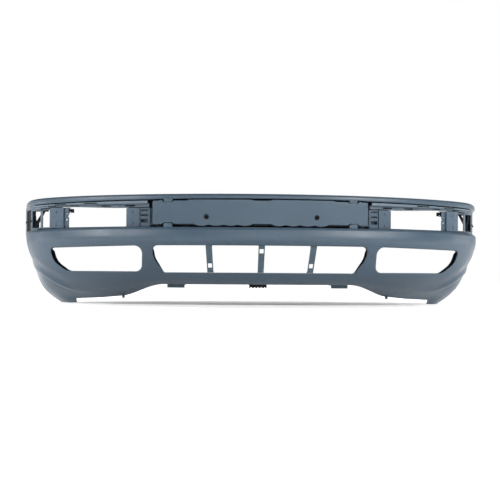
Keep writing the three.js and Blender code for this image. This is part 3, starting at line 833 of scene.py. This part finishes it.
def plate_shell():
    builder = Builder()
    outline = plate_outline()
    face = grown(outline, -PLATE_FILLET)
    holes = [circle(centre, BOLT["radius"]) for centre in bolt_centres()]
    points, faces = triangulate(face, holes, plate_points(face, holes))
    ids = builder.add_points(plate_face(points))
    builder.faces += [tuple(ids[v] for v in corners) for corners in faces]
    around = []
    for offset, depth in fillet_steps(PLATE_FILLET)[1:]:
        edge = grown(outline, -offset)
        around.append(point(edge[:, 0], PLATE_INSET + depth, edge[:, 1]))
    start = PLATE_INSET + PLATE_FILLET
    for share in (0.15, 0.4, 0.7, 1.0):
        inset = start + share * (floor_inset(outline[:, 0]) - 1.2 - start)
        around.append(point(outline[:, 0], inset, outline[:, 1]))
    builder.rows(ids[: len(face)], around, turned=True)
    shell = builder.make("plate_shell", outward=False)
    solidify(shell, WALL)
    return shell


def slab(builder, outline, front, back, bevel):
    """A closed block of an outline in (s, z), rounded at its front edge."""
    rings = []
    for offset, depth in fillet_steps(bevel, 3):
        edge = grown(outline, -offset)
        rings.append(point(edge[:, 0], front + depth, edge[:, 1]))
    rings.append(point(outline[:, 0], back, outline[:, 1]))
    builder.closed_tube(rings)


def skin_tongues():
    """The tongues of the skin that hold the number plate panel, and its locating teeth."""
    builder = Builder()
    middle = s_of_x(np.array([TONGUE["x"]]))[0]
    tooth = length_at_x(TOOTH["x"], TOOTH["line"])
    for side in (-1, 1):
        for (low, high), soft in zip(TONGUE_HEIGHTS, ((6, 1), (1, 3))):
            start, end = sorted((side * (middle - TONGUE["half"]), side * (middle + TONGUE["half"])))
            corners = [(start, low, soft[0]), (end, low, soft[0]), (end, high, soft[1])]
            outline = rounded([*corners, (start, high, soft[1])], pieces=5, step=6)
            slab(builder, outline, TONGUE["front"], TONGUE["back"], 1.2)
        start, end = side * tooth - TOOTH["half"], side * tooth + TOOTH["half"]
        low, high = TOOTH["low"], TOOTH["high"]
        corners = [(start, low, 1), (end, low, 1), (end, high, 1), (start, high, 1)]
        slab(builder, rounded(corners, pieces=3), TOOTH["front"], TOOTH["back"], 0.8)
    return builder.make("skin_tongues")


# ---------------------------------------------------------------- materials
def node_material(name):
    material = bpy.data.materials.new(name)
    material.use_nodes = True
    tree = material.node_tree
    return material, tree, tree.nodes["Principled BSDF"]


def add_node(tree, kind, values=None, **settings):
    """A node with its settings made and its sockets given a constant or a link."""
    node = tree.nodes.new(kind)
    for key, value in settings.items():
        setattr(node, key, value)
    for socket, value in (values or {}).items():
        if isinstance(value, bpy.types.NodeSocket):
            tree.links.new(value, node.inputs[socket])
        else:
            node.inputs[socket].default_value = value
    return node


def noise(tree, scale, detail=3.0, stretch=(1, 1, 1)):
    """A noise pattern in the piece's own metres. scale is in spots per metre."""
    place = add_node(tree, "ShaderNodeTexCoord").outputs["Object"]
    mapping = add_node(tree, "ShaderNodeMapping", {"Vector": place, "Scale": stretch})
    values = {"Vector": mapping.outputs["Vector"], "Scale": scale, "Detail": detail}
    return add_node(tree, "ShaderNodeTexNoise", values).outputs["Fac"]


def cells(tree, scale):
    """A pattern of cells. scale is in cells per metre."""
    place = add_node(tree, "ShaderNodeTexCoord").outputs["Object"]
    return add_node(tree, "ShaderNodeTexVoronoi", {"Vector": place, "Scale": scale})


def remapped(tree, value, start, end, low=0.0, high=1.0):
    values = {"Value": value, "From Min": start, "From Max": end, "To Min": low, "To Max": high}
    return add_node(tree, "ShaderNodeMapRange", values).outputs["Result"]


def times(tree, first, second):
    return add_node(tree, "ShaderNodeMath", {0: first, 1: second}, operation="MULTIPLY").outputs[0]


def plus(tree, first, second):
    return add_node(tree, "ShaderNodeMath", {0: first, 1: second}, operation="ADD").outputs[0]


def blended(tree, factor, first, second):
    """A colour between two colours."""
    values = {0: factor, 6: first, 7: second}
    return add_node(tree, "ShaderNodeMix", values, data_type="RGBA").outputs[2]


def shade(color, strength):
    return (*(min(1.0, channel * strength) for channel in color), 1)


def bumped(tree, height, strength, distance, normal=None):
    values = {"Height": height, "Strength": strength, "Distance": distance}
    if normal:
        values["Normal"] = normal
    return add_node(tree, "ShaderNodeBump", values).outputs["Normal"]


def facing_up(tree):
    """1 where the surface faces up, 0 where it is steep or faces down."""
    normal = add_node(tree, "ShaderNodeNewGeometry").outputs["Normal"]
    height = add_node(tree, "ShaderNodeSeparateXYZ", {0: normal}).outputs["Z"]
    return remapped(tree, height, 0.55, 0.98)


def worn_edges(tree, start, end):
    """1 on sharp outward edges, broken up by a fine noise."""
    edge = add_node(tree, "ShaderNodeNewGeometry").outputs["Pointiness"]
    return times(tree, remapped(tree, edge, start, end), remapped(tree, noise(tree, 160), 0.42, 0.6))


def scratches(tree, stretch):
    """Sparse thin lines."""
    return remapped(tree, noise(tree, 36, 2.0, stretch), 0.69, 0.73)


def primer(name, color, roughness, haze, peel):
    """Sprayed primer: uneven film, fine pimples, dust, rubbed edges, a few light scratches."""
    material, tree, shader = node_material(name)
    film = remapped(tree, noise(tree, 3.2, 4.0), 0.35, 0.65)
    mottle = remapped(tree, noise(tree, 55, 5.0), 0.4, 0.62)
    base = blended(tree, film, shade(color, 0.93), shade(color, 1.06))
    base = blended(tree, times(tree, mottle, 0.35), base, shade(color, 0.86))
    speck = remapped(tree, noise(tree, 900, 2.0), 0.66, 0.72)
    base = blended(tree, times(tree, speck, 0.22), base, shade(color, 1.9))
    dust = times(tree, facing_up(tree), remapped(tree, noise(tree, 24, 5.0), 0.35, 0.7))
    base = blended(tree, times(tree, dust, haze), base, (0.42, 0.43, 0.43, 1))
    base = blended(tree, times(tree, worn_edges(tree, 0.53, 0.62), 0.4), base, shade(color, 2.0))
    marks = scratches(tree, (1.0, 3.0, 14.0))
    base = blended(tree, times(tree, marks, 0.16), base, shade(color, 1.7))
    tree.links.new(base, shader.inputs["Base Color"])
    smears = remapped(tree, noise(tree, 9, 4.0), 0.3, 0.7, roughness - 0.06, roughness + 0.08)
    rough = plus(tree, smears, times(tree, dust, 0.2))
    tree.links.new(rough, shader.inputs["Roughness"])
    shader.inputs["Specular IOR Level"].default_value = 0.36
    pimples = bumped(tree, noise(tree, 520, 2.0), peel, 0.0003)
    waves = bumped(tree, noise(tree, 14, 2.0), 0.05, 0.002, pimples)
    tree.links.new(bumped(tree, marks, 0.1, 0.0002, waves), shader.inputs["Normal"])
    return material


def black_plastic(name, color, grain, chalk):
    """Bare black moulding: leather grain, pale scuffs, dust where it faces up."""
    material, tree, shader = node_material(name)
    leather = cells(tree, grain).outputs["Distance"]
    patches = remapped(tree, noise(tree, 18, 4.0), 0.38, 0.66)
    base = blended(tree, patches, shade(color, 0.8), shade(color, 1.35))
    scuffs = scratches(tree, (1.0, 4.0, 9.0))
    base = blended(tree, times(tree, scuffs, 0.15), base, (0.09, 0.09, 0.095, 1))
    dust = times(tree, facing_up(tree), remapped(tree, noise(tree, 30, 5.0), 0.3, 0.7))
    base = blended(tree, times(tree, dust, chalk), base, (0.2, 0.2, 0.2, 1))
    rubbed = times(tree, worn_edges(tree, 0.53, 0.6), 0.12)
    base = blended(tree, rubbed, base, (0.08, 0.082, 0.09, 1))
    tree.links.new(base, shader.inputs["Base Color"])
    rough = remapped(tree, noise(tree, 40, 4.0), 0.3, 0.7, 0.5, 0.7)
    tree.links.new(rough, shader.inputs["Roughness"])
    shader.inputs["Specular IOR Level"].default_value = 0.05
    pores = bumped(tree, leather, 0.3, 0.0003)
    tree.links.new(bumped(tree, scuffs, 0.15, 0.0002, pores), shader.inputs["Normal"])
    return material


def zinc(name):
    """Zinc plated spring steel: faint crystals, brushed lines, dull spots."""
    material, tree, shader = node_material(name)
    crystal = cells(tree, 420).outputs["Color"]
    tone = add_node(tree, "ShaderNodeSeparateColor", {0: crystal}).outputs[0]
    base = blended(tree, tone, (0.36, 0.37, 0.38, 1), (0.56, 0.57, 0.58, 1))
    stain = remapped(tree, noise(tree, 70, 5.0), 0.48, 0.72)
    base = blended(tree, times(tree, stain, 0.6), base, (0.3, 0.27, 0.19, 1))
    tree.links.new(base, shader.inputs["Base Color"])
    shader.inputs["Metallic"].default_value = 1.0
    tree.links.new(remapped(tree, stain, 0, 1, 0.3, 0.55), shader.inputs["Roughness"])
    brushed = noise(tree, 220, 2.0, (1.0, 14.0, 1.0))
    tree.links.new(bumped(tree, brushed, 0.15, 0.0002), shader.inputs["Normal"])
    return material


# ---------------------------------------------------------------- stage, in metres and degrees
FLOOR = 30  # from the middle to the edge
FLOOR_GLOW = (0.5, 1.2, 0.14, 1.3)  # from and to that far from the middle, and how bright
WALL_FRONT, WALL_BACK, CEILING = 0.27, 1.0, -0.8
CAMERA = {"distance": 4.0, "height": 0.088, "sensor": 36, "lens": 85.5}
CAMERA_TURN = {"yaw": 4.2, "pan": 0.59, "tilt": 1.45, "roll": 0.35}
# Name, place, what it points at, size, and power in watts.
SOFTBOXES = (
    ("softbox_left", (-3.2, -1.6, 2.0), (-0.4, 0, 0.25), (1.5, 1.6), 112),
    ("softbox_right", (2.5, -2.1, 2.0), (0.3, 0, 0.25), (1.5, 1.6), 118),
    ("softbox_front", (0.2, -3.3, 1.5), (0, 0, 0.25), (2.6, 1.6), 45),
    ("side_left", (-2.3, 0.3, 0.4), (-0.8, 0.2, 0.15), (0.5, 0.6), 4),
    ("side_right", (2.3, 0.3, 0.4), (0.8, 0.2, 0.15), (0.5, 0.6), 4),
)


def floor():
    """A pale floor that glows further off, so that no edge shows against the wall."""
    mesh = bpy.data.meshes.new("floor")
    corners = [(-FLOOR, -FLOOR, 0), (FLOOR, -FLOOR, 0), (FLOOR, FLOOR, 0), (-FLOOR, FLOOR, 0)]
    mesh.from_pydata(corners, [], [(0, 1, 2, 3)])
    obj = bpy.data.objects.new("floor", mesh)
    bpy.context.scene.collection.objects.link(obj)
    material, tree, shader = node_material("floor")
    shader.inputs["Base Color"].default_value = (0.86, 0.86, 0.86, 1)
    shader.inputs["Roughness"].default_value = 0.8
    shader.inputs["Specular IOR Level"].default_value = 0.1
    shader.inputs["Emission Color"].default_value = (1, 1, 1, 1)
    place = add_node(tree, "ShaderNodeTexCoord").outputs["Object"]
    away = add_node(tree, "ShaderNodeVectorMath", {0: place}, operation="LENGTH").outputs["Value"]
    glow = remapped(tree, away, *FLOOR_GLOW)
    tree.links.new(glow, shader.inputs["Emission Strength"])
    mesh.materials.append(material)


def camera():
    """Stands a little to the left of the nose, low down, and looks level."""
    data = bpy.data.cameras.new("camera")
    data.sensor_width = CAMERA["sensor"]
    data.lens = CAMERA["lens"]
    obj = bpy.data.objects.new("camera", data)
    bpy.context.scene.collection.objects.link(obj)
    yaw, pan, tilt, roll = (math.radians(CAMERA_TURN[k]) for k in ("yaw", "pan", "tilt", "roll"))
    distance = CAMERA["distance"]
    nose = Vector((0, -DEPTH / 2 * MM, 0))
    away = Vector((-distance * math.sin(yaw), -distance * math.cos(yaw), CAMERA["height"]))
    obj.location = nose + away
    obj.rotation_mode = "QUATERNION"
    obj.rotation_quaternion = (
        Quaternion((0, 0, 1), pan - yaw)
        @ Quaternion((1, 0, 0), math.pi / 2 + tilt)
        @ Quaternion((0, 0, 1), roll)
    )
    bpy.context.scene.camera = obj


def softbox(name, location, target, size, power):
    data = bpy.data.lights.new(name, "AREA")
    data.shape = "RECTANGLE"
    data.size, data.size_y = size
    data.energy = power
    obj = bpy.data.objects.new(name, data)
    bpy.context.scene.collection.objects.link(obj)
    obj.location = location
    obj.rotation_mode = "QUATERNION"
    obj.rotation_quaternion = (Vector(target) - Vector(location)).to_track_quat("-Z", "Y")


def studio():
    """White walls behind the object. The front of the room is dimmer, and so is its ceiling."""
    world = bpy.data.worlds.new("studio")
    bpy.context.scene.world = world
    world.use_nodes = True
    tree = world.node_tree
    place = add_node(tree, "ShaderNodeTexCoord").outputs["Generated"]
    direction = add_node(tree, "ShaderNodeSeparateXYZ", {0: place})
    walls = remapped(tree, direction.outputs["Y"], -0.35, 0.4, WALL_FRONT, WALL_BACK)
    ceiling = remapped(tree, direction.outputs["Z"], 0.24, 0.36, 0.0, CEILING)
    background = tree.nodes["Background"]
    background.inputs["Color"].default_value = (1, 1, 1, 1)
    tree.links.new(plus(tree, walls, ceiling), background.inputs["Strength"])


# ---------------------------------------------------------------- putting it together
EDGE_ROUNDING = 0.0005  # of the CAD pieces, in metres

PRIMER = primer("primer", (0.046, 0.072, 0.1), 0.38, 0.03, 0.12)
DARK_PRIMER = primer("dark_primer", (0.05, 0.077, 0.1), 0.46, 0.06, 0.3)
# a lighter copy of the primer: painted light on the trim rails, which the lip shades
LIT_RAIL_PRIMER = primer("lit_rail_primer", (0.085, 0.115, 0.145), 0.45, 0.04, 0.2)
BLACK = black_plastic("black_plastic", (0.009, 0.01, 0.013), 900, 0.06)
RUBBER = black_plastic("black_rubber", (0.006, 0.006, 0.007), 1800, 0.02)
STEEL = zinc("steel")
MATERIALS = {
    "primer": PRIMER,
    "dark_primer": DARK_PRIMER,
    "black_plastic": BLACK,
    "black_rubber": RUBBER,
    "steel": STEEL,
}


def finish_cad_nodes():
    """Every CAD node gets its slot's material and softly rounded edges. The trim rails instead get a
    lighter primer, painted light against the shade of the lip.
    """
    slot_of = {part["node"]: part["material_slot"] for part in frame["record"]["subparts"]}
    for node, obj in frame["nodes"].items():
        obj.data.materials.clear()
        rail = node.startswith("trim_rail")
        obj.data.materials.append(LIT_RAIL_PRIMER if rail else MATERIALS[slot_of[node]])
        bevel = obj.modifiers.new("rounded edges", "BEVEL")
        bevel.width = EDGE_ROUNDING
        bevel.segments = 2
        bevel.limit_method = "ANGLE"
        bevel.angle_limit = math.radians(35)


def dress(obj, node, *materials):
    """A fine piece that stands for a CAD node of the cover."""
    for material in materials:
        obj.data.materials.append(material)
    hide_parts(node)
    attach(obj, "cover")


bpy.context.scene.view_settings.view_transform = "Standard"
camera()
floor()
studio()
for values in SOFTBOXES:
    softbox(*values)
finish_cad_nodes()
dress(cover_skin(), "cover_skin", PRIMER, BLACK)
dress(skin_tongues(), "cover_skin", PRIMER)
dress(plate_shell(), "plate_panel", PRIMER, BLACK)
